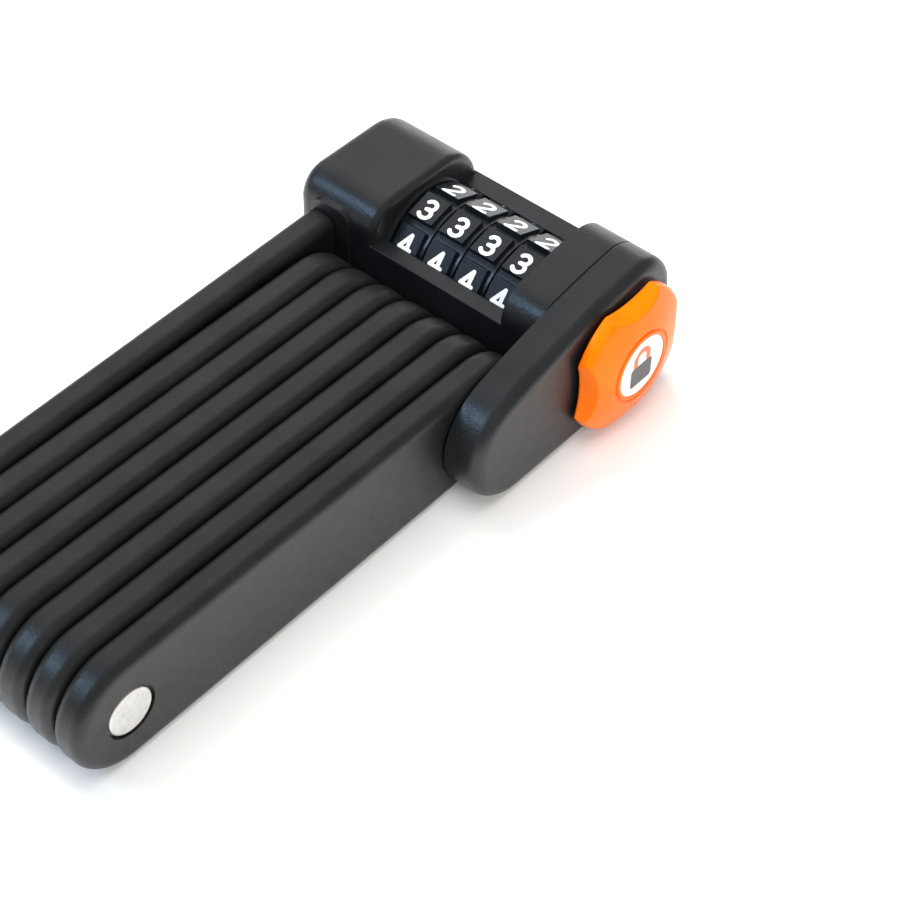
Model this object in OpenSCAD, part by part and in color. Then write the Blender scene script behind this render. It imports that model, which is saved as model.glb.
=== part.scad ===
// Folding bike lock: eight riveted links folded flat beside a four-dial locking head.
// X runs across the stack of links towards the knob, Y along the links towards the head, Z up.

/* [Links] */
// Distance between the two pivots of a link
link_pitch = 91.4; // [88:0.1:95]
// Height of a link's plastic sleeve
link_h = 24.4; // [23.5:0.1:24.8]
// Distance between neighbouring links in the folded stack
stack_pitch = 7; // [6.8:0.1:7.2]
// Gap between neighbouring sleeves
sleeve_gap = 0.3; // [0.1:0.05:0.4]
// Radius along the sleeve's long edges
sleeve_edge_r = 2.2; // [0.8:0.1:2.6]
// Thickness of the steel plate inside a sleeve
core_t = 4; // [3.5:0.1:4.4]
// Height of the steel plate inside a sleeve
core_h = 16; // [14:0.5:18]

/* [Pivots] */
// Radius of a rivet's shank
rivet_r = 3; // [2.5:0.1:3.4]
// Radius of a rivet's head
rivet_head_r = 4.9; // [4.5:0.1:5]
// Thickness of a rivet's head
rivet_head_t = 1.25; // [1:0.05:1.3]
// Radius of the hole in the sleeve around a rivet
pivot_hole_r = 5.4; // [5.3:0.05:5.6]
// Radius of the washer between two plates
washer_r = 4.6; // [4.4:0.05:4.7]
// Angle by which the last link leans away from the others
last_fan = 0.7; // [0:0.1:0.8]
// Angle by which the last link rises towards the head
last_lift = 0.35; // [0:0.05:0.4]

/* [Head] */
// Depth of the head along the links
head_d = 32; // [31:0.5:34]
// Height of the far end of the head
head_h = 31; // [30.5:0.1:32]
// Radius along the head's long edges
head_edge_r = 6.5; // [5:0.5:7]
// Radius along the head's upper back edge
head_back_r = 10; // [7:0.5:11]
// Gap between the ends of the links and the head
head_gap = 1.4; // [1.2:0.1:3]
// Width of the far block, which holds the tongue
far_block_w = 20.4; // [19:0.1:22]
// Width of the near block, beside the cheek
near_block_w = 8.5; // [8:0.1:9]
// Height of the rails beside the dials
rail_h = 22.6; // [21:0.1:24]
// Thickness of the cheek
cheek_t = 8.2; // [7:0.1:8.5]
// Radius of the cheek's rounded front end
cheek_nose_r = 12.5; // [12.2:0.1:12.8]
// Radius of the fillet around the cheek's outer face
cheek_fillet_r = 2.5; // [1:0.1:3]
// Radius of the long arc along the cheek's top
cheek_arc_r = 170; // [160:5:190]

/* [Dials] */
// Number of dials
dial_count = 4; // [4]
// Distance between dials
dial_pitch = 7.95; // [7.9:0.05:8]
// Gap between dials
dial_gap = 0.3; // [0.2:0.05:0.4]
// Distance from the axis to the flat face of a digit pad
pad_apothem = 13.05; // [12.9:0.05:13.1]
// Width of a digit pad along the axis
pad_w = 6; // [5.5:0.1:6.2]
// Width of the valley between two pads
valley_w = 2.2; // [1.5:0.1:3]
// Radius at the bottom of the valleys
valley_r = 12.15; // [12:0.05:12.5]

/* [Knob] */
// Outer radius of the knob
knob_r = 15.7; // [14:0.1:15.8]
// Thickness of the knob from its rim to its face
knob_t = 5; // [4.5:0.1:5.5]
// Gap between the knob's rim and the cheek
knob_gap = 1.1; // [1:0.1:2]
// Radius of the sphere that forms the knob's dome
dome_r = 38; // [32:1:60]
// Radius around the knob's outer edge
knob_edge_r = 2.2; // [1:0.1:2.4]
// Number of finger scallops
scallops = 4; // [4]
// Radius of a finger scallop
scallop_r = 26; // [20:1:40]
// Radius of the badge
badge_r = 6.8; // [5:0.1:7]

/* [Hidden] */
$fn = 96;
eps = 0.01;
run = 0.06;                 // radial running clearance
slide = 0.08;               // clearance between flat faces that slide
link_count = 8;
link_r = link_h / 2;
sleeve_t = stack_pitch - sleeve_gap;
digits = 10;

pivot_z = link_r;
nose_y = link_pitch;                       // the pivot in the cheek's rounded end
head_y0 = nose_y + link_r + head_gap;      // front face of the head
head_y1 = head_y0 + head_d;                // back face of the head
axis_y = (head_y0 + head_y1) / 2 - 0.6;    // the dials and the knob turn about this line
axis_z = 15.3;

cheek_x0 = 0.3;
cheek_x1 = cheek_x0 + cheek_t;
near_x0 = cheek_x0 - near_block_w;
window_x0 = near_x0 - dial_count * dial_pitch - 1;
far_x0 = window_x0 - far_block_w;
collar_w = 0.6;
collar_r = 13.3;
window_r = 13.8;
pad_inset = 0.55;                           // from a dial's far side to its pads
pad_turn = -2.4;                            // the pads' angle when a digit is lined up
far_end_r = 3;                              // fillet at the far end
far_window_r = 1.5;                         // fillet at the window end

knob_x0 = cheek_x1 + knob_gap;
knob_x1 = knob_x0 + knob_t;
dome_x = knob_x1 - sqrt(pow(dome_r, 2) - pow(badge_r, 2));   // centre of the dome's sphere
groove_r = badge_r + 1;                     // the fine groove around the badge
hub_r = 5.6;
knob_hollow_r = 11.2;                       // stays inside the scallops

// centre of the long arc along the cheek's top, tangent to the rounded end
nose_z = cheek_nose_r;
arc_y = nose_y + 48.6;
arc_z = nose_z - sqrt(pow(cheek_arc_r - cheek_nose_r, 2) - pow(arc_y - nose_y, 2));
back_y = head_y1 - head_back_r;            // centre of the cheek's upper back corner
back_z = arc_z + sqrt(pow(cheek_arc_r - head_back_r, 2) - pow(back_y - arc_y, 2));
low_y = head_y1 - head_edge_r;             // centre of its lower back corner
low_z = head_edge_r;
front_y = head_y0 + head_edge_r;           // centre of the near block's rounded front corner
front_z = arc_z + sqrt(pow(cheek_arc_r - head_edge_r, 2) - pow(front_y - arc_y, 2));

tongue_x = link_x(7) - axis_y * sin(last_fan);     // the tongue's middle where the spindle crosses it
tongue_y1 = axis_y + 8;
tongue_slot_gap = 0.35;
boss_x = link_x(7) + 0.5;
boss_w = 10;
boss_r = 3.2;
boss_t = 0.55;
boss_top = 27.7;
link_h_end = head_y0 - boss_t - 0.45;      // where the last sleeve stops short of the boss
seam_w = 0.22;                              // the groove between the near block and the cheek
seam_depth = 0.35;

spindle_r = 4;
lock_end_r = 3.4;                           // the spindle's end that holds the tongue
lock_flat = 1.9;                            // half thickness of that end across its flats
fin_r = 6;
fin_t = 1.8;
ring_r = 9;
ring_chamber_r = 6.4;
ring_chamber_w = 3;
gate_w = 2.6;
rim_w = 0.65;
drive_r = 3;                                // the spindle's end that drives the knob
clip_r = 6.4;
clip_t = 1.2;
screw_r = 1.5;
screw_head_r = 2.7;
screw_sink_t = 1.7;
screw_circle_r = 10.4;
ball_r = 1.2;
ball_angle = 234 + pad_turn;                           // the detent balls sit behind a valley between pads
oring_r = 0.9;
oring_ring_r = 6.7;

mid_x = (far_x0 + knob_x1) / 2;
mid_y = (head_y1 - link_r) / 2;

function link_x(i) = -(i + 0.5) * stack_pitch;
function dial_x(i) = window_x0 + collar_w + 0.25 + i * dial_pitch;      // the dial's far side
// pivot k joins link k - 1 (the cheek for pivot 0) to link k
function pivot_y(k) = k % 2 == 0 ? nose_y : 0;

// the whole lock is placed with its origin under the middle of its box
module place() { translate([-mid_x, -mid_y, 0]) children(); }

// a child drawn in the XY plane as (Y, Z) and extruded from x0 to x1
module along_x(x0, x1) {
    translate([x0, 0, 0]) rotate([90, 0, 90]) linear_extrude(x1 - x0) children();
}

// a cylinder from x0 to x1 about the line (y, z)
module rod(x0, x1, r, y = axis_y, z = axis_z) {
    along_x(x0, x1) translate([y, z]) circle(r);
}

// a profile of (radius, X) revolved about the line (y, z)
module turned(y = axis_y, z = axis_z) {
    translate([0, y, z]) rotate([90, 0, 90]) rotate_extrude() children();
}

// a rectangle with its own radius at the low-Y side and at the high-Y side
module soft_rect(x0, x1, y0, y1, r0, r1) {
    translate([x0 + r0, y0]) square([x1 - x0 - 2 * r0, (y1 - y0) / 2 + eps]);
    translate([x0, y0 + r0]) square([x1 - x0, y1 - y0 - r0 - r1]);
    translate([x0 + r1, (y0 + y1) / 2]) square([x1 - x0 - 2 * r1, (y1 - y0) / 2]);
    for (x = [x0 + r0, x1 - r0]) translate([x, y0 + r0]) circle(r0);
    for (x = [x0 + r1, x1 - r1]) translate([x, y1 - r1]) circle(r1);
}

// the half section of a disc of radius r from a to b, with edge radii ra and rb
module disc_profile(r, a, b, ra, rb) {
    big = max(ra, rb);
    translate([0, a]) square([r - big, b - a]);
    translate([0, a + ra]) square([r, b - a - ra - rb]);
    if (ra > 0) {
        translate([r - ra, a + ra]) circle(ra);
        translate([0, a]) square([r - ra, ra + eps]);
    }
    if (rb > 0) {
        translate([r - rb, b - rb]) circle(rb);
        translate([0, b - rb - eps]) square([r - rb, rb + eps]);
    }
}

// ---- links ----

// a bar with rounded ends about its pivots and rounded long edges, from x - t/2 to x + t/2
module bar(x, t, h, edge, y0, y1, round0 = true, round1 = true) {
    r = h / 2;
    translate([0, y1, 0]) rotate([90, 0, 0]) linear_extrude(y1 - y0)
        soft_rect(x - t / 2, x + t / 2, pivot_z - r, pivot_z + r, edge, edge);
    for (end = [[y0, round0], [y1, round1]])
        if (end[1]) turned(end[0], pivot_z) disc_profile(r, x - t / 2, x + t / 2, edge, edge);
}

// the last link leans a little about its pivot, away from the others and upwards
module lean(i) {
    if (i == link_count - 1)
        translate([link_x(i), 0, pivot_z]) rotate([last_lift, 0, last_fan])
            translate([-link_x(i), 0, -pivot_z]) children();
    else children();
}

module sleeve_outer(i) {
    last = i == link_count - 1;
    lean(i) bar(link_x(i), sleeve_t, link_h, sleeve_edge_r, 0, last ? link_h_end : nose_y, true, !last);
}

module plate_blank(i) {
    x = link_x(i);
    last = i == link_count - 1;
    lean(i) {
        bar(x, core_t, core_h, 0.4, 0, last ? tongue_y1 - 2 : nose_y, true, !last);
        if (last)
            along_x(x - core_t / 2, x + core_t / 2)
                translate([tongue_y1 - 4, pivot_z - core_h / 2 + 1]) square([4, core_h - 2]);
    }
}

module sleeve(i) {
    x = link_x(i);
    last = i == link_count - 1;
    color("#26282b") place() difference() {
        sleeve_outer(i);
        plate_blank(i);
        for (y = last ? [0] : [0, nose_y])
            rod(x - stack_pitch, x + stack_pitch, pivot_hole_r, y, pivot_z);
    }
}

// a link is turned by pivot i and carries the rivet of pivot i + 1
module plate(i) {
    x = link_x(i);
    last = i == link_count - 1;
    color("#8d9196") place() difference() {
        plate_blank(i);
        rod(x - stack_pitch, x + stack_pitch, rivet_r + run, pivot_y(i), pivot_z);
        if (!last) rod(x - stack_pitch, x + stack_pitch, rivet_r, pivot_y(i + 1), pivot_z);
        if (last) tongue_keyhole(tongue_x);
    }
}

// the opening through which the spindle's flattened end passes, with a round seat at its bottom
module tongue_keyhole(x) {
    rod(x - core_t, x + core_t, lock_end_r + 0.2);
    along_x(x - core_t, x + core_t)
        translate([axis_y - lock_flat - tongue_slot_gap, axis_z])
            square([2 * (lock_flat + tongue_slot_gap), link_h]);
}

// a rivet's head at both ends, the far one turning freely against the plate of link k
module rivet(k) {
    first = k == 0;
    outer_x = first ? cheek_x0 + 4.5 : link_x(k - 1) + core_t / 2 + rivet_head_t;
    inner_x = link_x(k) - core_t / 2 - slide;
    color("#b9bdc2") place() {
        rod(inner_x - rivet_head_t + slide, outer_x, rivet_r, pivot_y(k), pivot_z);
        turned(pivot_y(k), pivot_z)
            disc_profile(rivet_head_r, inner_x - rivet_head_t + slide, inner_x, 0.5, 0);
        if (!first)
            turned(pivot_y(k), pivot_z)
                disc_profile(rivet_head_r, outer_x - rivet_head_t, outer_x, 0, 0.5);
    }
}

module washer(k) {
    high = k == 0 ? cheek_x0 : link_x(k - 1) - core_t / 2;
    low = link_x(k) + core_t / 2 + slide;
    color("#9fa3a8") place() difference() {
        rod(low, high, washer_r, pivot_y(k), pivot_z);
        rod(low - 1, high + 1, rivet_r, pivot_y(k), pivot_z);
    }
}

// ---- head ----

// a block with rounded long edges along X, the upper back one of radius rb and the others rc,
// and with fillets r0 and r1 at its two ends
module soft_block(x0, x1, y0, y1, z0, z1, rc, rb, r0, r1) {
    inside = 2;
    for (p = [[y0 + rc, z0 + rc, rc], [y1 - rc, z0 + rc, rc], [y0 + rc, z1 - rc, rc], [y1 - rb, z1 - rb, rb]])
        turned(p[0], p[1]) disc_profile(p[2], x0, x1, r0, r1);
    // upright slabs, each [from, to, top], then flat slabs, each [from, to, back]
    for (p = [[y0 + rc, y1 - rb, z1], [y1 - rb, y1 - rc, z1 - rb + inside]])
        translate([0, p[1], 0]) rotate([90, 0, 0]) linear_extrude(p[1] - p[0])
            end_rounded(x0, x1, z0, p[2], r0, r1);
    for (p = [[z0 + rc, z1 - rb, y1], [z1 - rb, z1 - rc, y1 - rb + inside]])
        translate([0, 0, p[0]]) linear_extrude(p[1] - p[0]) end_rounded(x0, x1, y0, p[2], r0, r1);
}

// a rectangle with radius r0 at its low-X corners and r1 at its high-X corners
module end_rounded(x0, x1, y0, y1, r0, r1) {
    translate([x0 + r0, y0]) square([x1 - x0 - r0 - r1, y1 - y0]);
    translate([x0, y0 + r0]) square([r0 + eps, y1 - y0 - 2 * r0]);
    translate([x1 - r1 - eps, y0 + r1]) square([r1 + eps, y1 - y0 - 2 * r1]);
    for (y = [y0 + r0, y1 - r0]) translate([x0 + r0, y]) circle(r0);
    for (y = [y0 + r1, y1 - r1]) translate([x1 - r1, y]) circle(r1);
}

// the near block's outline, which follows the cheek's back half, drawn in by inset
module head_outline(inset) {
    arc_c = [arc_y, arc_z];
    front = [front_y, front_z];
    back = [back_y, back_z];
    inside = 2;
    reach = 2 * head_back_r;
    intersection() {
        translate(arc_c) circle(cheek_arc_r - inset, $fn = 720);
        polygon([
            front - inside * unit(front - arc_c), front + reach * unit(front - arc_c),
            back + reach * unit(back - arc_c), back - inside * unit(back - arc_c)
        ]);
    }
    translate(front) circle(head_edge_r - inset);
    translate(back) circle(head_back_r - inset);
    translate([low_y, low_z]) circle(head_edge_r - inset);
    translate([head_y0 + inset, inset]) square([low_y - head_y0 - inset, front_z - inset]);
    translate([front_y, inset]) square([low_y - front_y, low_z - inset + eps]);
    translate([front_y, low_z]) square([head_y1 - inset - front_y, back_z - low_z]);
}

function unit(v) = v / norm(v);

module lock_body() {
    color("#2b2d30") place() difference() {
        union() {
            soft_block(far_x0, window_x0, head_y0, head_y1, 0, head_h, head_edge_r, head_back_r,
                far_end_r, far_window_r);
            rod(window_x0 - eps, window_x0 + collar_w, collar_r);
            window_tray();
            near_block();
            boss();
        }
        rod(window_x0 + collar_w, near_x0, window_r);
        difference() {
            rod(window_x0, window_x0 + collar_w + eps, window_r);
            rod(window_x0 - 1, window_x0 + collar_w, collar_r);
        }
        rod(tongue_x - 6, window_x0 + 1, lock_end_r + run);
        rod(near_x0 - 1, cheek_x0 + 1, spindle_r + run);
        rod(cheek_x0 - clip_t - 0.4, cheek_x0 + 1, clip_r + 0.3);
        tongue_slot();
        screws_at() rod(cheek_x0 - 6.5, cheek_x0 + 1, screw_r, 0, 0);
        dowels_at() rod(cheek_x0 - 4, cheek_x0 + 1, screw_r, 0, 0);
        detents_at() detent_bore();
    }
}

// the trough that carries the dials, with a rail on each side of the window
module window_tray() {
    intersection() {
        soft_block(window_x0 - 6, near_x0 + 4, head_y0, head_y1, 0, head_h, head_edge_r, head_back_r, 0, 0);
        translate([window_x0 - 5, head_y0 - 1, -1])
            cube([near_x0 - window_x0 + 5.5, head_d + 2, rail_h + 1]);
    }
}

module near_block() {
    along_x(near_x0, cheek_x0 - seam_w) head_outline(0);
    along_x(cheek_x0 - seam_w - eps, cheek_x0) head_outline(seam_depth);
}

// the flat raised pad that the last link butts against
module boss() {
    translate([0, head_y0 + 1, 0]) rotate([90, 0, 0]) linear_extrude(boss_t + 1)
        soft_rect(boss_x - boss_w / 2, boss_x + boss_w / 2, 0.2, boss_top, 0.8, boss_r);
}

// the slot for the tongue, open at the front and at the underside
module tongue_slot() {
    gap = tongue_slot_gap;
    lean(7) translate([link_x(7) - core_t / 2 - gap, head_y0 - 3, -3])
        cube([core_t + 2 * gap, tongue_y1 + 0.6 - head_y0 + 3, pivot_z + core_h / 2 + 3.6]);
}

module screws_at() {
    for (a = [30 : 120 : 270])
        translate([0, axis_y + screw_circle_r * cos(a), axis_z + screw_circle_r * sin(a)])
            children();
}

module dowels_at() {
    for (p = [[head_y0 + 5, 4.5], [head_y1 - 5, 27]]) translate([0, p[0], p[1]]) children();
}

module detents_at() {
    for (i = [0 : dial_count - 1])
        translate([dial_x(i) + pad_inset + pad_w / 2, axis_y, axis_z]) rotate([ball_angle, 0, 0]) children();
}

// a radial bore out of the window for a ball and its spring
module detent_bore() {
    rotate([-90, 0, 0]) translate([0, 0, window_r - 1]) cylinder(h = 4.4, r = ball_r + 0.05);
}

module detent_balls() {
    color("#c9ccd0") place() detents_at() translate([0, window_r + ball_r - 0.15, 0]) sphere(ball_r);
}

module detent_springs() {
    low = window_r + 2 * ball_r - 0.2;
    color("#a8acb1") place() detents_at() rotate([-90, 0, 0]) difference() {
        translate([0, 0, low]) cylinder(h = window_r + 3.4 - low, r = 0.9);
        translate([0, 0, low - 1]) cylinder(h = 8, r = 0.55);
    }
}

// a disc of the cheek with its outer edge filleted
module cheek_disc(r, y, z) {
    turned(y, z) disc_profile(r, cheek_x0, cheek_x1, 0, cheek_fillet_r);
}

module end_cheek() {
    color("#2b2d30") place() difference() {
        union() {
            cheek_disc(cheek_nose_r, nose_y, nose_z);
            intersection() {
                turned(arc_y, arc_z) disc_profile(cheek_arc_r, cheek_x0, cheek_x1, 0, cheek_fillet_r);
                along_x(cheek_x0 - 1, cheek_x1 + 1) arc_sector();
            }
            cheek_disc(head_back_r, back_y, back_z);
            cheek_disc(head_edge_r, low_y, low_z);
            cheek_foot();
            cheek_back();
            along_x(cheek_x0, cheek_x1)
                polygon([[nose_y, nose_z], [back_y, back_z], [low_y, back_z], [low_y, low_z], [nose_y, low_z]]);
        }
        rod(cheek_x0 - 1, cheek_x0 + 4.5, rivet_r, nose_y, pivot_z);
        rod(cheek_x0 - 1, cheek_x1 + 1, spindle_r + run);
        screws_at() rod(cheek_x0 - 1, cheek_x1 + 1, screw_r, 0, 0);
        screws_at() screw_head(screw_sink_t + eps);
        dowels_at() rod(cheek_x0 - 1, cheek_x0 + 4, screw_r, 0, 0);
        turned() translate([oring_ring_r, cheek_x1]) circle(oring_r);
    }
}

// the strip under the long arc, from just inside the nose's and the back corner's centres
module arc_sector() {
    inside = 2;
    reach = 2 * cheek_nose_r;
    nose = [nose_y, nose_z];
    back = [back_y, back_z];
    nose_up = unit(nose - [arc_y, arc_z]);
    back_up = unit(back - [arc_y, arc_z]);
    polygon([
        nose - inside * nose_up, nose + reach * nose_up, back + reach * back_up,
        back - inside * back_up
    ]);
}

// the cheek's straight lower edge
module cheek_foot() {
    translate([0, low_y, 0]) rotate([90, 0, 0]) linear_extrude(low_y - nose_y) {
        translate([cheek_x0, 0]) square([cheek_t - cheek_fillet_r, nose_z]);
        translate([cheek_x0 + 1, cheek_fillet_r]) square([cheek_t - 1, nose_z - cheek_fillet_r]);
        translate([cheek_x1 - cheek_fillet_r, cheek_fillet_r]) circle(cheek_fillet_r);
    }
}

// the cheek's straight back edge
module cheek_back() {
    y0 = back_y - 4;
    translate([0, 0, low_z]) linear_extrude(back_z - low_z) {
        translate([cheek_x0, y0]) square([cheek_t - cheek_fillet_r, head_y1 - y0]);
        translate([cheek_x0 + 1, y0]) square([cheek_t - 1, head_y1 - y0 - cheek_fillet_r]);
        translate([cheek_x1 - cheek_fillet_r, head_y1 - cheek_fillet_r]) circle(cheek_fillet_r);
    }
}

// a countersunk head, flush with the cheek's outer face
module screw_head(h) {
    translate([cheek_x1 - screw_sink_t, 0, 0]) rotate([0, 90, 0])
        cylinder(h = h, r1 = screw_r, r2 = screw_head_r);
}

module cheek_screws() {
    color("#6f7377") place() screws_at() difference() {
        union() {
            rod(cheek_x0 - 6.3, cheek_x1 - 1, screw_r, 0, 0);
            screw_head(screw_sink_t);
        }
        translate([cheek_x1 - 1.2, 0, 0]) rotate([0, 90, 0]) cylinder(h = 2, r = 1.1, $fn = 6);
    }
}

module cheek_dowels() {
    color("#b9bdc2") place() dowels_at() rod(cheek_x0 - 3.9, cheek_x0 + 3.9, screw_r, 0, 0);
}

// ---- dials ----

module dial(i) {
    x0 = dial_x(i);
    x1 = x0 + dial_pitch - dial_gap;
    color("#15181d") place() difference() {
        union() {
            rod(x0, x1, valley_r);
            rod(x1 - rim_w, x1, valley_r + 0.25);
            rod(x0, x0 + 0.2, valley_r + 0.1);
            along_x(x0 + pad_inset, x0 + pad_inset + pad_w) translate([axis_y, axis_z]) rotate(pad_turn) intersection() {
                rotate(180 / digits) circle(pad_apothem / cos(180 / digits), $fn = digits);
                pad_stripes();
            }
        }
        rod(x0 - 1, x1 + 1, ring_r);
    }
}

// ten spokes, one behind each pad
module pad_stripes() {
    pad_l = 2 * pad_apothem * tan(180 / digits) - valley_w;
    for (n = [0 : digits - 1])
        rotate(n * 360 / digits) translate([0, -pad_l / 2]) square([2 * pad_apothem, pad_l]);
}

// the ring that carries a dial's code gate, with a chamber in which the spindle's fin turns
module code_ring(i) {
    x0 = dial_x(i);
    x1 = x0 + dial_pitch - dial_gap;
    mid = (x0 + x1) / 2;
    color("#b08d4a") place() difference() {
        rod(x0, x1, ring_r);
        rod(x0 - 1, x1 + 1, spindle_r + run);
        rod(mid - ring_chamber_w / 2, mid + ring_chamber_w / 2, ring_chamber_r);
        along_x(mid, x1 + 1) translate([axis_y - gate_w / 2, axis_z]) square([gate_w, ring_chamber_r]);
    }
}

// ---- knob and spindle ----

module spindle() {
    color("#a3a7ac") place() difference() {
        union() {
            lock_end();
            rod(window_x0 + collar_w + 0.12, cheek_x1 + 0.2, spindle_r);
            for (i = [0 : dial_count - 1]) fin(dial_x(i) + (dial_pitch - dial_gap) / 2);
            intersection() {
                rod(cheek_x1, knob_x1 - 2.4, drive_r);
                translate([cheek_x1, axis_y - 2.4, axis_z - drive_r]) cube([8, 4.8, 2 * drive_r]);
            }
        }
        difference() {
            rod(cheek_x0 - clip_t - 0.1, cheek_x0 - 0.1, spindle_r + 1);
            rod(cheek_x0 - clip_t - 1, cheek_x0 + 1, spindle_r - 0.8);
        }
        rod(knob_x1 - 7, knob_x1, 1.25);
    }
}

// the round end of the spindle, flattened where it passes through the tongue
module lock_end() {
    x0 = tongue_x - 5.6;
    half = core_t / 2 + 0.7;
    rod(x0, tongue_x - half, lock_end_r);
    rod(tongue_x + half, window_x0 + 1, lock_end_r);
    intersection() {
        rod(x0, window_x0, lock_end_r);
        translate([x0, axis_y - lock_flat, axis_z - lock_end_r])
            cube([window_x0 - x0, 2 * lock_flat, 2 * lock_end_r]);
    }
}

module fin(x) {
    translate([x - fin_t / 2, axis_y - 1.1, axis_z]) cube([fin_t, 2.2, fin_r]);
}

module spindle_clip() {
    color("#8b8f94") place() difference() {
        rod(cheek_x0 - clip_t - 0.1, cheek_x0 - 0.1, clip_r);
        rod(cheek_x0 - clip_t - 1, cheek_x0 + 1, spindle_r - 0.8);
        translate([cheek_x0 - clip_t - 1, axis_y - 1.6, axis_z - clip_r - 1]) cube([clip_t + 2, 3.2, clip_r]);
    }
}

module knob() {
    seat_x = knob_x1 - 1.2;
    color("#f07a1e") place() difference() {
        union() {
            knob_blank();
            rod(cheek_x1 + 0.15, knob_x0 + 2, hub_r);
        }
        difference() {
            rod(knob_x0 - 1, knob_x0 + 1.6, knob_hollow_r);
            rod(cheek_x1, knob_x1, hub_r);
        }
        for (n = [0 : scallops - 1]) rotate_about_axis(n * 360 / scallops) scallop();
        turned() translate([groove_r, knob_x1 - 0.3]) circle(0.3);
        rod(seat_x, knob_x1 + 1, badge_r);
        rod(seat_x - 1.2, seat_x + 1, 2.6);
        rod(cheek_x1, seat_x, 1.35);
        intersection() {
            rod(cheek_x1, knob_x1 - 2.4, drive_r);
            translate([cheek_x1, axis_y - 2.4, axis_z - drive_r]) cube([8, 4.8, 2 * drive_r]);
        }
    }
}

// a low dome whose shoulder runs into the wall in an arc that touches both
module knob_blank() {
    shoulder = knob_r - knob_edge_r;
    shoulder_x = dome_x + sqrt(pow(dome_r - knob_edge_r, 2) - pow(shoulder, 2));
    touch = dome_r * shoulder / (dome_r - knob_edge_r);
    intersection() {
        union() {
            turned() translate([shoulder, shoulder_x]) circle(knob_edge_r);
            rod(knob_x0, shoulder_x, knob_r);
            turned() intersection() {
                translate([0, dome_x]) circle(dome_r, $fn = 360);
                translate([0, knob_x0]) square([touch, knob_t]);
            }
        }
        rod(knob_x0, knob_x1, knob_r + 1);
    }
}

module rotate_about_axis(a) {
    translate([0, axis_y, axis_z]) rotate([a, 0, 0]) translate([0, -axis_y, -axis_z]) children();
}

// a shallow finger hollow that leans towards the axis as it rises
module scallop() {
    floor_r = 13.3;
    lean = 20;
    translate([knob_x0, axis_y + floor_r, axis_z]) rotate([0, 0, -lean])
        translate([0, scallop_r, 0]) rotate([0, 90, 0])
            translate([0, 0, -15]) cylinder(h = 30, r = scallop_r, $fn = 180);
}

module knob_badge() {
    color("#f2f2f0") place() rod(knob_x1 - 1.2, knob_x1 - 0.25, badge_r - 0.05);
}

module knob_screw() {
    seat_x = knob_x1 - 1.2;
    color("#6f7377") place() difference() {
        union() {
            rod(knob_x1 - 6.8, seat_x - 1.1, 1.25);
            rod(seat_x - 1.2, seat_x - 0.1, 2.5);
        }
        translate([seat_x - 0.9, axis_y, axis_z]) rotate([0, 90, 0]) cylinder(h = 2, r = 1, $fn = 6);
    }
}

module knob_seal() {
    color("#111214") place() turned() translate([oring_ring_r, cheek_x1]) circle(oring_r - 0.02);
}

lock_body();
end_cheek();
cheek_screws();
cheek_dowels();
knob();
knob_badge();
knob_screw();
knob_seal();
spindle();
spindle_clip();
dial(0);  // dial_1
dial(1);  // dial_2
dial(2);  // dial_3
dial(3);  // dial_4
code_ring(0);  // code_ring_1
code_ring(1);  // code_ring_2
code_ring(2);  // code_ring_3
code_ring(3);  // code_ring_4
detent_balls();
detent_springs();
sleeve(0);  // sleeve_a
sleeve(1);  // sleeve_b
sleeve(2);  // sleeve_c
sleeve(3);  // sleeve_d
sleeve(4);  // sleeve_e
sleeve(5);  // sleeve_f
sleeve(6);  // sleeve_g
sleeve(7);  // sleeve_h
plate(0);  // plate_a
plate(1);  // plate_b
plate(2);  // plate_c
plate(3);  // plate_d
plate(4);  // plate_e
plate(5);  // plate_f
plate(6);  // plate_g
plate(7);  // plate_h
rivet(0);  // rivet_0
rivet(1);  // rivet_1
rivet(2);  // rivet_2
rivet(3);  // rivet_3
rivet(4);  // rivet_4
rivet(5);  // rivet_5
rivet(6);  // rivet_6
rivet(7);  // rivet_7
washer(0);  // washer_0
washer(1);  // washer_1
washer(2);  // washer_2
washer(3);  // washer_3
washer(4);  // washer_4
washer(5);  // washer_5
washer(6);  // washer_6
washer(7);  // washer_7
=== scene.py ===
"""The look of a folding bike lock: materials, dial digits, knob badge mark, floor, light and camera."""
import math

import bmesh
import bpy
from mathutils import Matrix, Vector


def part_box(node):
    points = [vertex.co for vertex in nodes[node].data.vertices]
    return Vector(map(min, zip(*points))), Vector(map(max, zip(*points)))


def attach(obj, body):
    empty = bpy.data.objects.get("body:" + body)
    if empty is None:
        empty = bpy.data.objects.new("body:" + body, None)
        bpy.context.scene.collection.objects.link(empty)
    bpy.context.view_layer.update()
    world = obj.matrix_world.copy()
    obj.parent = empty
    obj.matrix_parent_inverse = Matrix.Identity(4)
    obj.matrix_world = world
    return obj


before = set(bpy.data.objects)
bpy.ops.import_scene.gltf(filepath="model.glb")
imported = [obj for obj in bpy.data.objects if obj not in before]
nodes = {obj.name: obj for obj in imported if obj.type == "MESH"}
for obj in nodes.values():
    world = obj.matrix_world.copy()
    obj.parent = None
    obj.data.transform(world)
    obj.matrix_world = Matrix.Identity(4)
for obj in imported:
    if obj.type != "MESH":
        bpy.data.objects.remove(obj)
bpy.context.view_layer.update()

MM = 0.001


# ---- materials ----

SINK_DEPTH = 0.2 * MM      # the slow waviness of a moulded face
GRAIN_DEPTH = 0.12 * MM
BEVEL_SAMPLES = 6

def link(tree, a, b):
    tree.links.new(a, b)


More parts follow.
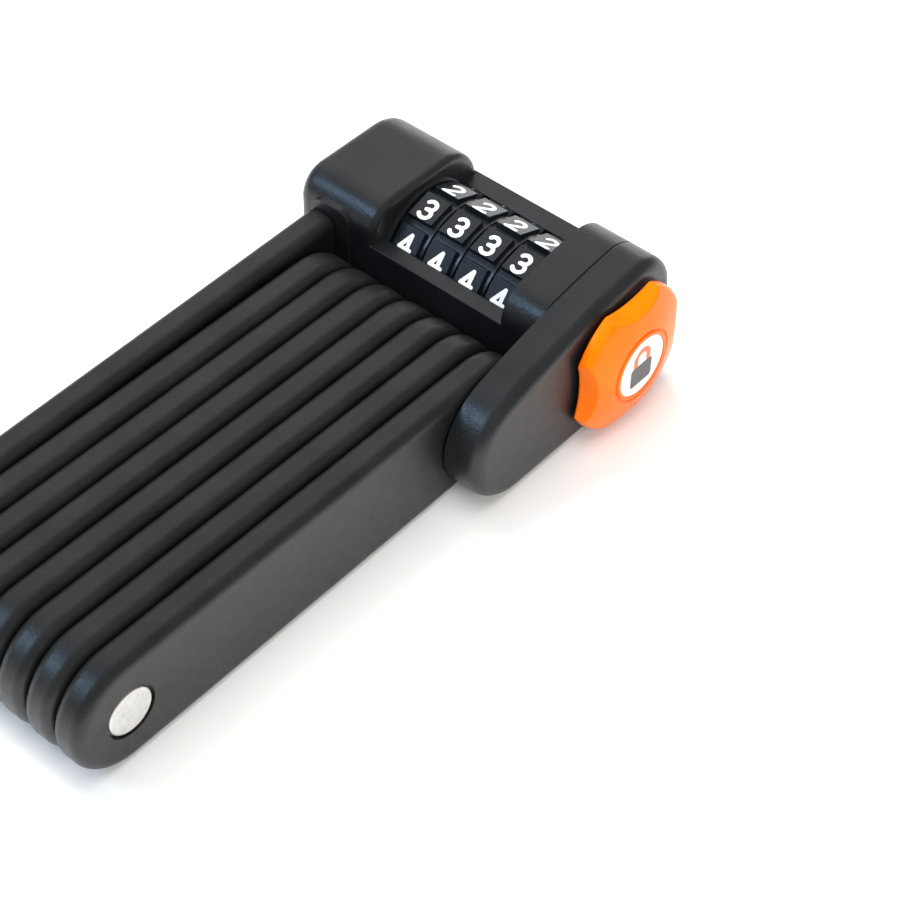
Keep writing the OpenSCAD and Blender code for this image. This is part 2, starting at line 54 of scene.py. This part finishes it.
def new_material(name, roughness, colour=(0.5, 0.5, 0.5), metallic=0.0, ior=1.5):
    """A Principled material and its tree, shader and object coordinates."""
    mat = bpy.data.materials.new(name)
    mat.use_nodes = True
    tree = mat.node_tree
    shader = tree.nodes["Principled BSDF"]
    shader.inputs["Base Color"].default_value = (*colour, 1)
    shader.inputs["Roughness"].default_value = roughness
    shader.inputs["Metallic"].default_value = metallic
    shader.inputs["IOR"].default_value = ior
    coords = tree.nodes.new("ShaderNodeTexCoord")
    return mat, tree, shader, coords.outputs["Object"]


def noise(tree, coords, size, detail=3.0, roughness=0.5, stretch=None):
    """Noise whose features are about size metres across, optionally stretched along the axes."""
    node = tree.nodes.new("ShaderNodeTexNoise")
    node.inputs["Scale"].default_value = 1 / size
    node.inputs["Detail"].default_value = detail
    node.inputs["Roughness"].default_value = roughness
    if stretch:
        mapping = tree.nodes.new("ShaderNodeMapping")
        mapping.inputs["Scale"].default_value = stretch
        link(tree, coords, mapping.inputs["Vector"])
        coords = mapping.outputs["Vector"]
    link(tree, coords, node.inputs["Vector"])
    return node.outputs["Fac"]


def ramp(tree, value, low, high, at=(0.35, 0.65)):
    """A colour from low to high as value goes from at[0] to at[1]."""
    node = tree.nodes.new("ShaderNodeValToRGB")
    node.color_ramp.elements[0].position, node.color_ramp.elements[1].position = at
    node.color_ramp.elements[0].color = (*low, 1)
    node.color_ramp.elements[1].color = (*high, 1)
    link(tree, value, node.inputs["Fac"])
    return node.outputs["Color"]


def span(tree, value, low, high, start=0.3, end=0.7):
    """A number from low to high as value goes from start to end."""
    node = tree.nodes.new("ShaderNodeMapRange")
    node.inputs["From Min"].default_value = start
    node.inputs["From Max"].default_value = end
    node.inputs["To Min"].default_value = low
    node.inputs["To Max"].default_value = high
    link(tree, value, node.inputs["Value"])
    return node.outputs["Result"]


def bump(tree, shader, height, strength, depth, before=None):
    """Bump by height, up to depth metres, over the normals in before."""
    node = tree.nodes.new("ShaderNodeBump")
    node.inputs["Strength"].default_value = strength
    node.inputs["Distance"].default_value = depth
    link(tree, height, node.inputs["Height"])
    if before:
        link(tree, before, node.inputs["Normal"])
    link(tree, node.outputs["Normal"], shader.inputs["Normal"])
    return node.outputs["Normal"]


def soft_edges(tree, radius):
    """Normals that round every sharp edge over radius metres, as a mould's edges are."""
    node = tree.nodes.new("ShaderNodeBevel")
    node.samples = BEVEL_SAMPLES
    node.inputs["Radius"].default_value = radius
    return node.outputs["Normal"]


def moulded_plastic(name, dark, light, rough, grain, grain_strength, ior=1.5, edge=0.0):
    """Moulded plastic: slow colour and gloss variation, soft sink waviness and a fine spark-eroded grain."""
    mat, tree, shader, at = new_material(name, rough[0], ior=ior)
    link(tree, ramp(tree, noise(tree, at, 9 * MM, 4), dark, light), shader.inputs["Base Color"])
    link(tree, span(tree, noise(tree, at, 2.2 * MM, 5, 0.6), *rough), shader.inputs["Roughness"])
    rounded = soft_edges(tree, edge) if edge else None
    wavy = bump(tree, shader, noise(tree, at, 9 * MM, 2), 0.08, SINK_DEPTH, rounded)
    bump(tree, shader, noise(tree, at, grain, 2, 0.6), grain_strength, GRAIN_DEPTH, wavy)
    return mat


def brushed_metal(name, colour, rough, stretch, metallic=1.0):
    """Metal with fine stretched tool marks."""
    mat, tree, shader, at = new_material(name, rough[0], colour, metallic)
    marks = noise(tree, at, 0.25 * MM, 4, 0.6, stretch)
    link(tree, span(tree, marks, *rough), shader.inputs["Roughness"])
    link(tree, ramp(tree, noise(tree, at, 1.5 * MM, 5, 0.6), tuple(0.86 * c for c in colour), colour),
         shader.inputs["Base Color"])
    bump(tree, shader, marks, 0.25, 0.01 * MM)
    return mat


head_black = moulded_plastic("head_black", (0.0075, 0.0083, 0.0096), (0.0110, 0.0120, 0.0135),
                             (0.31, 0.41), 0.5 * MM, 0.5,
                             edge=0.35 * MM)
sleeve_black = moulded_plastic("sleeve_black", (0.0060, 0.0064, 0.0062), (0.0095, 0.0100, 0.0097),
                               (0.36, 0.46), 0.55 * MM, 0.45)
dial_black = moulded_plastic("dial_black", (0.0045, 0.006, 0.0085), (0.007, 0.009, 0.0125),
                             (0.24, 0.32), 0.5 * MM, 0.08,
                             edge=0.12 * MM)
knob_orange = moulded_plastic("knob_orange", (0.88, 0.148, 0.0004), (0.95, 0.178, 0.0008),
                              (0.26, 0.34), 0.35 * MM, 0.08,
                              1.4, 0.5 * MM)
knob_orange.node_tree.nodes["Principled BSDF"].inputs["Specular Tint"].default_value = (1.0, 0.72, 0.30, 1)
badge_white = moulded_plastic("badge_white", (0.80, 0.78, 0.76), (0.86, 0.84, 0.82),
                              (0.28, 0.36), 0.4 * MM, 0.05)
digit_white = moulded_plastic("digit_white", (0.74, 0.75, 0.76), (0.86, 0.87, 0.88),
                              (0.42, 0.55), 0.15 * MM, 0.2)
mark_grey = moulded_plastic("mark_grey", (0.06, 0.06, 0.07), (0.08, 0.08, 0.09), (0.3, 0.4), 0.3 * MM, 0.08)
mark_orange = moulded_plastic("mark_orange", (0.78, 0.13, 0.01), (0.88, 0.16, 0.015),
                              (0.3, 0.4), 0.3 * MM, 0.08)
rubber = moulded_plastic("seal_rubber", (0.012, 0.012, 0.013), (0.018, 0.018, 0.019),
                         (0.6, 0.75), 0.2 * MM, 0.3)
link_steel = brushed_metal("link_steel", (0.5, 0.5, 0.51), (0.34, 0.46), (1, 0.08, 1))
rivet_steel = brushed_metal("rivet_steel", (0.80, 0.785, 0.76), (0.42, 0.52), (1, 1, 1))
bright_steel = brushed_metal("bright_steel", (0.62, 0.62, 0.63), (0.18, 0.3), (0.1, 1, 1))
screw_steel = brushed_metal("dark_screw_steel", (0.16, 0.16, 0.17), (0.3, 0.42), (1, 1, 1))
ring_brass = brushed_metal("ring_brass", (0.66, 0.44, 0.16), (0.22, 0.34), (0.1, 1, 1))

FINISH = {
    "lock_body": head_black, "end_cheek": head_black,
    "cheek_screws": screw_steel, "cheek_dowels": bright_steel,
    "knob": knob_orange, "knob_badge": badge_white, "knob_screw": screw_steel, "knob_seal": rubber,
    "spindle": bright_steel, "spindle_clip": link_steel,
    "detent_balls": bright_steel, "detent_springs": bright_steel,
    "dial": dial_black, "code_ring": ring_brass, "sleeve": sleeve_black, "plate": link_steel,
    "rivet": rivet_steel, "washer": link_steel,
}


def finish_of(name):
    return FINISH.get(name) or FINISH[name.rsplit("_", 1)[0]]


for name, obj in nodes.items():
    obj.data.materials.clear()
    obj.data.materials.append(finish_of(name))


# ---- dial digits ----

DIGIT_H = 4.25 * MM      # height of the stroke's centre line
DIGIT_W = 2.65 * MM
STROKE = 0.86 * MM
DIGIT_RISE = 0.05 * MM
DIGIT_DROP = -0.5 * MM   # the digits sit a little low on their pads


def arc(cx, cy, rx, ry, start, end, steps=22):
    """Points on an ellipse from start to end, in degrees, anticlockwise where end is larger."""
    return [(cx + rx * math.cos(math.radians(start + (end - start) * t / steps)),
             cy + ry * math.sin(math.radians(start + (end - start) * t / steps))) for t in range(steps + 1)]


# strokes of each digit in a box from -1 to 1 each way
GLYPHS = {
    0: [arc(0, 0.38, 1, 0.62, 0, 180) + arc(0, -0.38, 1, 0.62, 180, 360) + [(1, 0.38)]],
    1: [[(-0.55, 0.52), (0.2, 1)], [(0.2, 1), (0.2, -1)]],
    2: [arc(0, 0.46, 0.93, 0.54, 160, -38), [(0.735, 0.13), (-0.95, -1)], [(-0.95, -1), (1, -1)]],
    3: [arc(-0.02, 0.5, 0.86, 0.5, 150, -88), [(-0.3, 0.0), (0.05, 0.0)],
        arc(0, -0.47, 0.96, 0.53, 86, -154)],
    4: [[(0.42, 1), (-1, -0.42)], [(-1, -0.42), (1, -0.42)], [(0.42, 1), (0.42, -1)]],
    5: [[(0.85, 1), (-0.7, 1)], [(-0.7, 1), (-0.85, 0.1)], arc(-0.02, -0.35, 0.98, 0.65, 138, -152)],
    6: [arc(0, -0.38, 1, 0.62, 0, 360), arc(0.62, -0.2, 1.6, 1.25, 92, 186)],
    7: [[(-0.95, 1), (0.95, 1)], [(0.95, 1), (-0.3, -1)]],
    8: [arc(0, 0.52, 0.8, 0.48, 0, 360), arc(0, -0.47, 0.97, 0.53, 0, 360)],
    9: [arc(0, 0.38, 1, 0.62, 0, 360), arc(-0.62, 0.2, 1.6, 1.25, -88, 6)],
}


def ribbon(bm, points, width, rise, place):
    """A raised stroke with round ends along points in a plane; place maps (x, y, height) to space."""
    half = width / 2
    pts = [Vector(p) for p in points]
    left, right = [], []
    for i, p in enumerate(pts):
        ahead = (pts[min(i + 1, len(pts) - 1)] - pts[max(i - 1, 0)]).normalized()
        side = Vector((-ahead.y, ahead.x)) * half
        left.append(p + side)
        right.append(p - side)

    def cap(centre, start):
        """The points round an end, from start half a turn anticlockwise."""
        radius, turn = start - centre, 8
        return [centre + Matrix.Rotation(math.pi * k / turn, 2) @ radius for k in range(1, turn)]

    closed = (pts[0] - pts[-1]).length < 1e-7
    rows = [(l, r) for l, r in zip(left, right)]
    tops = [(bm.verts.new(place(*l, rise)), bm.verts.new(place(*r, rise))) for l, r in rows]
    feet = [(bm.verts.new(place(*l, 0)), bm.verts.new(place(*r, 0))) for l, r in rows]
    for i in range(len(rows) - 1):
        bm.faces.new((tops[i][1], tops[i + 1][1], tops[i + 1][0], tops[i][0]))
        bm.faces.new((tops[i][0], tops[i + 1][0], feet[i + 1][0], feet[i][0]))
        bm.faces.new((tops[i + 1][1], tops[i][1], feet[i][1], feet[i + 1][1]))
    if closed:
        return
    for index, start in ((0, left[0]), (-1, right[-1])):
        outline = cap(pts[index], start)
        top = [bm.verts.new(place(*q, rise)) for q in outline]
        foot = [bm.verts.new(place(*q, 0)) for q in outline]
        ends = (tops[0][0], tops[0][1]) if index == 0 else (tops[-1][1], tops[-1][0])
        low = (feet[0][0], feet[0][1]) if index == 0 else (feet[-1][1], feet[-1][0])
        ring_top = [ends[0], *top, ends[1]]
        ring_low = [low[0], *foot, low[1]]
        bm.faces.new(ring_top)
        for a, b, c, d in zip(ring_top, ring_top[1:], ring_low[1:], ring_low):
            bm.faces.new((b, a, d, c))


def mesh_piece(name, bm, material, body):
    bmesh.ops.recalc_face_normals(bm, faces=bm.faces)
    mesh = bpy.data.meshes.new(name)
    bm.to_mesh(mesh)
    bm.free()
    mesh.materials.append(material)
    obj = bpy.data.objects.new(name, mesh)
    bpy.context.scene.collection.objects.link(obj)
    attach(obj, body)
    return obj


PAD_APOTHEM = 13.05 * MM
PAD_TURN = -2.4           # degrees, with a digit lined up
PAD_W = 6.0 * MM
PAD_INSET = 0.55 * MM
axis = Vector((0, *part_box("knob_badge")[0].lerp(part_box("knob_badge")[1], 0.5).yz))


def add_digits(i):
    low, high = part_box(f"dial_{i}")
    pad_x = low.x + PAD_INSET + PAD_W / 2
    bm = bmesh.new()
    for digit in range(10):
        angle = math.radians(36 * digit + PAD_TURN)
        out = Vector((0, math.cos(angle), math.sin(angle)))
        up = Vector((0, math.sin(angle), -math.cos(angle)))
        centre = Vector((pad_x, axis.y, axis.z)) + out * PAD_APOTHEM + up * DIGIT_DROP

        def place(x, y, height):
            return centre + Vector((x, 0, 0)) + up * y + out * height

        for k, stroke in enumerate(GLYPHS[digit]):
            points = [(x * DIGIT_W / 2, y * DIGIT_H / 2) for x, y in stroke]
            ribbon(bm, points, STROKE, DIGIT_RISE + k * 0.005 * MM, place)
    obj = mesh_piece(f"digits_{i}", bm, digit_white, f"dial_wheel_{i}")


for i in range(1, 5):
    add_digits(i)


# ---- the badge's mark, a small padlock ----

MARK_RISE = 0.03 * MM
LOCK_HALF = 3.2 * MM      # half the padlock body's width
LOCK_TOP = 0.6 * MM
LOCK_FOOT = -4.3 * MM
LOCK_CORNER = 0.8 * MM
SHACKLE_R = 1.95 * MM
SHACKLE_RISE = 1.5 * MM
SHACKLE_W = 1.2 * MM
SHACKLE_FOOT = LOCK_TOP + 0.4 * MM
badge_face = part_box("knob_badge")[1].x


def on_badge(y, z, height):
    return Vector((badge_face + height, axis.y + y, axis.z + z))


def padlock_body():
    bm = bmesh.new()
    outline = []
    for cy, cz, start in ((LOCK_HALF, LOCK_TOP, 0), (-LOCK_HALF, LOCK_TOP, 90),
                          (-LOCK_HALF, LOCK_FOOT, 180), (LOCK_HALF, LOCK_FOOT, 270)):
        centre = (cy - math.copysign(LOCK_CORNER, cy), cz - math.copysign(LOCK_CORNER, cz))
        outline += arc(*centre, LOCK_CORNER, LOCK_CORNER, start, start + 90, 8)
    top = [bm.verts.new(on_badge(y, z, MARK_RISE)) for y, z in outline]
    foot = [bm.verts.new(on_badge(y, z, 0)) for y, z in outline]
    bm.faces.new(top)
    for k in range(len(top)):
        n = (k + 1) % len(top)
        bm.faces.new((top[n], top[k], foot[k], foot[n]))
    mesh_piece("mark_padlock", bm, mark_grey, "knob_assembly")


def padlock_shackle():
    bm = bmesh.new()
    bow = arc(0, LOCK_TOP + SHACKLE_RISE, SHACKLE_R, SHACKLE_R, 0, 180)
    points = [(SHACKLE_R, SHACKLE_FOOT), *bow, (-SHACKLE_R, SHACKLE_FOOT)]
    ribbon(bm, points, SHACKLE_W, MARK_RISE, on_badge)
    mesh_piece("mark_shackle", bm, mark_orange, "knob_assembly")


padlock_body()
padlock_shackle()


# ---- floor, light and camera ----

FLOOR_HALF = 2.0           # metres
WORLD_LIGHT = 0.3
CAMERA_AT = (0.210198, -0.205870, 0.317122)
LENS = 90.87
SENSOR = 36

floor_mesh = bpy.data.meshes.new("floor")
bm = bmesh.new()
bmesh.ops.create_grid(bm, x_segments=2, y_segments=2, size=FLOOR_HALF)
bm.to_mesh(floor_mesh)
bm.free()
floor = bpy.data.objects.new("floor", floor_mesh)
bpy.context.scene.collection.objects.link(floor)
paper, tree, shader, at = new_material("paper", 0.6)
mottle = ramp(tree, noise(tree, at, 60 * MM, 3), (0.86, 0.86, 0.855), (0.885, 0.885, 0.88))
link(tree, mottle, shader.inputs["Base Color"])
floor.data.materials.append(paper)

world = bpy.data.worlds.new("studio")
bpy.context.scene.world = world
world.use_nodes = True
world.node_tree.nodes["Background"].inputs["Color"].default_value = (1, 1, 1, 1)
world.node_tree.nodes["Background"].inputs["Strength"].default_value = WORLD_LIGHT


def area_light(name, azimuth, elevation, distance, size, radiance, colour=(1, 1, 1), in_reflections=True):
    """A rectangular lamp that faces the lock, placed by its direction from +X and its height angle."""
    lamp = bpy.data.lights.new(name, "AREA")
    lamp.shape = "RECTANGLE"
    lamp.size, lamp.size_y = size
    lamp.energy = radiance * math.pi * size[0] * size[1]
    lamp.color = colour
    obj = bpy.data.objects.new(name, lamp)
    across = math.cos(math.radians(elevation))
    out = Vector((across * math.cos(math.radians(azimuth)), across * math.sin(math.radians(azimuth)),
                  math.sin(math.radians(elevation))))
    obj.location = out * distance
    obj.rotation_euler = (-out).to_track_quat("-Z", "Y").to_euler()
    obj.visible_glossy = in_reflections
    bpy.context.scene.collection.objects.link(obj)


area_light("softbox", 145, 48, 0.9, (0.85, 0.7), 0.68, (0.96, 0.99, 1.0))
area_light("backdrop", 119, 10, 0.8, (0.5, 0.2), 2.3)
area_light("window", -131, 42, 0.9, (0.26, 0.26), 11, (0.42, 0.68, 1.0))
area_light("key", 165, 58, 1.8, (0.9, 0.9), 11, (1.0, 0.99, 0.97), False)
area_light("fill", -20, 32, 2.2, (1.1, 1.1), 8.5, (1.0, 0.965, 0.93), False)
area_light("top", -60, 80, 1.8, (1.2, 1.2), 4.5, (1.0, 0.99, 0.98), False)

camera_data = bpy.data.cameras.new("camera")
camera_data.lens = LENS
camera_data.sensor_width = SENSOR
camera_data.clip_start = 0.01
camera = bpy.data.objects.new("camera", camera_data)
right = Vector((0.75638, 0.65389, 0.0181))
down = Vector((0.48159, -0.53792, -0.69189))
forward = Vector((-0.44268, 0.53204, -0.72178))
facing = Matrix((right, -down, -forward)).transposed().to_4x4()
camera.matrix_world = Matrix.Translation(CAMERA_AT) @ facing
bpy.context.scene.collection.objects.link(camera)
bpy.context.scene.camera = camera
bpy.context.scene.view_settings.view_transform = "Standard"
